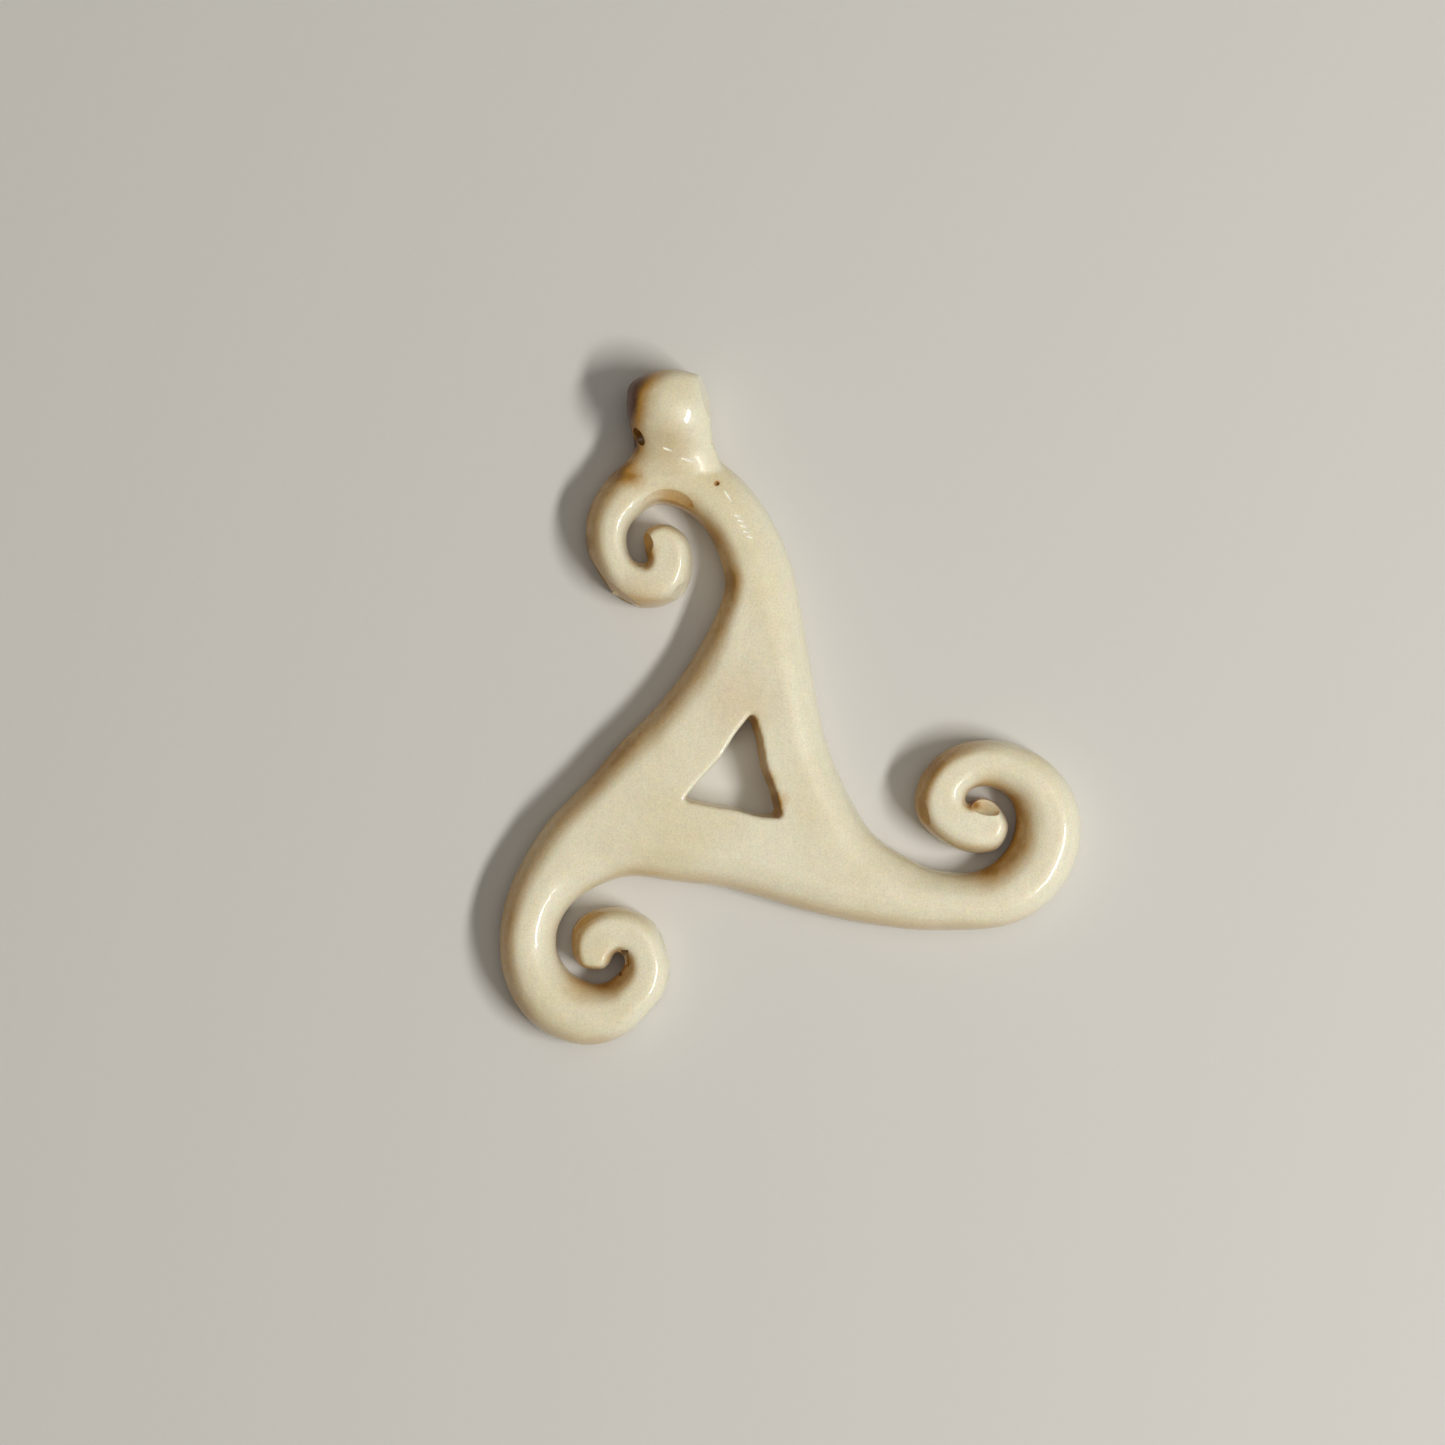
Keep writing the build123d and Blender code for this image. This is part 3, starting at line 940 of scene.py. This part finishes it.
@dataclass
class Carving:
    """The pendant itself: the frame's solid, recut and smoothed as a hand leaves it.

    merge joins the frame's loose corners and grain is the size of the new skin's faces.
    softening and rub are how often and how hard the edges are rubbed down. waver is how far
    the hand strays above back_rise, in swells of waver_size, and waver_middle tells how
    much of it is cut in and how much stands out. Each point looks for walls in so many
    looks, from clearance above the skin out to reach, and gain is how fast it counts as
    a recess.
    """

    node: str = "triskele_pendant"
    merge: float = 0.0005 * MM
    grain: float = 0.185 * MM
    softening: int = 3
    rub: float = 0.5
    waver: float = 0.09 * MM
    waver_size: float = 2.6 * MM
    waver_middle: float = 0.62
    back_rise: float = 0.35 * MM
    clearance: float = 0.05 * MM
    reach: float = 4.0 * MM
    looks: int = 14
    gain: float = 2.2
    bone: PolishedBone = PolishedBone()
    cut_bone: PolishedBone = PolishedBone(name=Skin.WHITTLED.value, bark=0.18, coat=0.35)
    fresh_bone: PolishedBone = PolishedBone(name=Skin.PARED.value, bark=-0.08, recess_patina_and_shade=0.5)
    # Painted glint: a near-white bone for the fine grooves, standing in for the glints that light
    # catches on them.
    painted_glint_skin: PolishedBone = PolishedBone(
        name=Skin.SCRAPED.value,
        cream=linear(255, 252, 240),
        ivory=replace(PolishedBone.ivory, paint=linear(252, 244, 222)),
        painted_light=replace(PolishedBone.painted_light, paint=linear(255, 252, 240)),
        bark=-0.5,
        recess_patina_and_shade=0.0,
    )

    def build(self) -> bpy.types.Object:
        """Makes the finished pendant.

        Returns:
            The pendant, dressed and riding on its body.
        """
        piece = self.copy_of_solid()
        self.soften(piece)
        self.whittle(piece)
        self.crease(piece)
        self.look_round(piece)
        self.dress(piece)
        return piece

    def copy_of_solid(self) -> bpy.types.Object:
        """Copies the frame's solid and merges its loose triangles.

        Returns:
            A closed copy, apart from the frame.
        """
        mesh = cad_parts[self.node].data.copy()
        piece = bpy.data.objects.new("carved_pendant", mesh)
        bpy.context.scene.collection.objects.link(piece)
        select_only(piece)
        bpy.ops.object.mode_set(mode="EDIT")
        bpy.ops.mesh.select_all(action="SELECT")
        bpy.ops.mesh.remove_doubles(threshold=self.merge)
        bpy.ops.object.mode_set(mode="OBJECT")
        piece.data.materials.clear()
        piece.data.materials.append(self.bone.make())
        return piece

    def soften(self, piece: bpy.types.Object) -> None:
        """Turns the solid into one even skin, rubs its edges down and makes it waver.

        Args:
            piece: The pendant.
        """
        apply_modifier(piece, "REMESH", mode="VOXEL", voxel_size=self.grain)
        apply_modifier(piece, "SMOOTH", factor=self.rub, iterations=self.softening)
        front = piece.vertex_groups.new(name="front")
        raised = [v.index for v in piece.data.vertices if v.co.z > self.back_rise]
        front.add(raised, 1.0, "REPLACE")
        clouds = bpy.data.textures.new("hand_waver", "CLOUDS")
        clouds.noise_scale = self.waver_size
        clouds.noise_depth = 1
        centre = bpy.data.objects.new("waver_centre", None)
        bpy.context.scene.collection.objects.link(centre)
        coordinates = {"texture_coords": "OBJECT", "texture_coords_object": centre}
        height = {"strength": self.waver, "mid_level": self.waver_middle}
        where = {"vertex_group": front.name, **coordinates}
        apply_modifier(piece, "DISPLACE", texture=clouds, **height, **where)
        bpy.data.objects.remove(centre)
        piece.vertex_groups.clear()

    def whittle(self, piece: bpy.types.Object) -> None:
        """Cuts the knife's bevels and facets and the small hollows.

        Args:
            piece: The pendant.
        """
        bones = (self.cut_bone, self.fresh_bone, self.painted_glint_skin)
        skins = {Skin(bone.name): bone.make() for bone in bones}
        skins[Skin.POLISHED] = piece.data.materials[0]
        for cut in (*RIM_BEVELS, *FACETS, *SCOOPS):
            cut_away(piece, cut.blade(piece), skins[cut.skin])

    def crease(self, piece: bpy.types.Object) -> None:
        """Shades the skin smoothly but keeps the rims of the cuts sharp.

        Args:
            piece: The pendant.
        """
        select_only(piece)
        bpy.ops.object.shade_smooth()
        bpy.ops.object.mode_set(mode="EDIT")
        bpy.ops.mesh.select_mode(type="FACE")
        bpy.ops.mesh.select_all(action="DESELECT")
        for skin in (Skin.WHITTLED, Skin.PARED, Skin.SCRAPED):
            piece.active_material_index = piece.data.materials.find(skin.value)
            bpy.ops.object.material_slot_select()
        bpy.ops.mesh.region_to_loop()
        bpy.ops.mesh.mark_sharp()
        bpy.ops.object.mode_set(mode="OBJECT")

    def ways(self) -> list[Vector]:
        """Spreads directions evenly over the half of a ball that lies above a surface.

        Returns:
            The directions, for a surface that faces up.
        """
        golden_angle = math.pi * (3 - math.sqrt(5))
        ways = []
        for index in range(self.looks):
            bearing = index * golden_angle
            rise = (index + 0.5) / self.looks
            flat = math.sqrt(1 - rise * rise)
            ways.append(Vector((flat * math.cos(bearing), flat * math.sin(bearing), rise)))
        return ways

    def look_round(self, piece: bpy.types.Object) -> None:
        """Stores how much of its own surroundings each point of the carving faces.

        Args:
            piece: The pendant.
        """
        mesh = piece.data
        corners = [vertex.co for vertex in mesh.vertices]
        tree = BVHTree.FromPolygons(corners, [tuple(face.vertices) for face in mesh.polygons])
        ways = self.ways()
        # This value browns the recesses, partly as the bone's aged brown and partly as painted
        # shade.
        layer = mesh.attributes.new(Layer.HOLLOW.value, "FLOAT", "POINT")
        for vertex, normal in zip(mesh.vertices, mesh.vertex_normals):
            lean = UP.rotation_difference(normal.vector)
            start = vertex.co + normal.vector * self.clearance
            blocked = 0.0
            for way in ways:
                hit, _, _, far = tree.ray_cast(start, lean @ way, self.reach)
                if hit:
                    blocked += 1 - far / self.reach
            layer.data[vertex.index].value = min(1.0, self.gain * blocked / self.looks)

    def dress(self, piece: bpy.types.Object) -> None:
        """Hides the frame's solid and gives the pendant its body.

        Args:
            piece: The pendant.
        """
        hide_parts(self.node)
        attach(piece, Body.ROOT.value)


@dataclass(frozen=True)
class Lamp:
    """A studio light with straight sides, pointed at the pendant.

    bearing and height are its direction from the pendant in degrees, distance, wide and
    tall are metres and power is watts.
    """

    name: str
    bearing: float
    height: float
    distance: float
    wide: float
    tall: float
    power: float
    tint: Place


@dataclass
class Studio:
    """The board, the lights and the camera over the pendant.

    view_width is what the picture spans at the height of aim, the point that the camera and
    the lamps point at. The camera sees nothing nearer than near.
    """

    view_width: float = 107.04 * MM
    aim: Place = (-5.02 * MM, -1.04 * MM, 1.5 * MM)
    camera_height: float = 320 * MM
    near: float = 10 * MM
    board: float = 1.2
    room_tint: Paint = (1.0, 0.94, 0.84, 1.0)
    room_strength: float = 0.15
    lamps: tuple[Lamp, ...] = (
        Lamp("window", -20.0, 50.0, 0.55, 0.26, 0.06, 2.2, (1.0, 0.985, 0.96)),
        Lamp("overhead", 60.0, 80.0, 0.80, 0.60, 0.60, 1.05, (1.0, 0.97, 0.91)),
    )

    def lay_board(self) -> bpy.types.Object:
        """Lays the board that the pendant rests on.

        Returns:
            The board.
        """
        bpy.ops.object.select_all(action="DESELECT")
        bpy.ops.mesh.primitive_plane_add(size=self.board, location=(0, 0, 0))
        board = bpy.context.active_object
        board.name = "board"
        board.data.materials.append(PaleBoard().make())
        return board

    def hang(self, lamp: Lamp) -> None:
        """Hangs a lamp so that it points at the pendant.

        Args:
            lamp: The lamp's place, size and light.
        """
        bearing, height = math.radians(lamp.bearing), math.radians(lamp.height)
        flat = Vector((math.cos(bearing), math.sin(bearing), 0.0))
        away = flat * math.cos(height) + UP * math.sin(height)
        data = bpy.data.lights.new(lamp.name, "AREA")
        data.shape = "RECTANGLE"
        data.size = lamp.wide
        data.size_y = lamp.tall
        data.energy = lamp.power
        data.color = lamp.tint
        hung = bpy.data.objects.new(lamp.name, data)
        hung.location = Vector(self.aim) + away * lamp.distance
        hung.rotation_euler = (-away).to_track_quat("-Z", "Y").to_euler()
        bpy.context.scene.collection.objects.link(hung)

    def light_room(self) -> None:
        """Sets the room's faint light."""
        world = bpy.data.worlds.new("room")
        world.use_nodes = True
        room = world.node_tree.nodes["Background"]
        room.inputs["Color"].default_value = self.room_tint
        room.inputs["Strength"].default_value = self.room_strength
        bpy.context.scene.world = world

    def set_camera(self) -> None:
        """Sets the camera straight above the pendant, with its knob at the top."""
        data = bpy.data.cameras.new("portrait")
        data.lens = data.sensor_width * self.camera_height / self.view_width
        data.clip_start = self.near
        camera = bpy.data.objects.new("portrait", data)
        camera.location = Vector(self.aim) + UP * self.camera_height
        bpy.context.scene.collection.objects.link(camera)
        bpy.context.scene.camera = camera

    def build(self) -> None:
        """Sets up the board, the lights, the camera and the plain picture colours."""
        self.lay_board()
        for lamp in self.lamps:
            self.hang(lamp)
        self.light_room()
        self.set_camera()
        bpy.context.scene.view_settings.view_transform = "Standard"


def main() -> None:
    """Builds the studio and the pendant."""
    logging.basicConfig(level=logging.INFO, format="%(name)s: %(message)s")
    Studio().build()
    log.info("studio ready")
    pendant = Carving().build()
    triangles = sum(len(face.vertices) - 2 for face in pendant.data.polygons)
    log.info("%s has %d triangles", pendant.name, triangles)


if __name__ == "__main__":
    main()
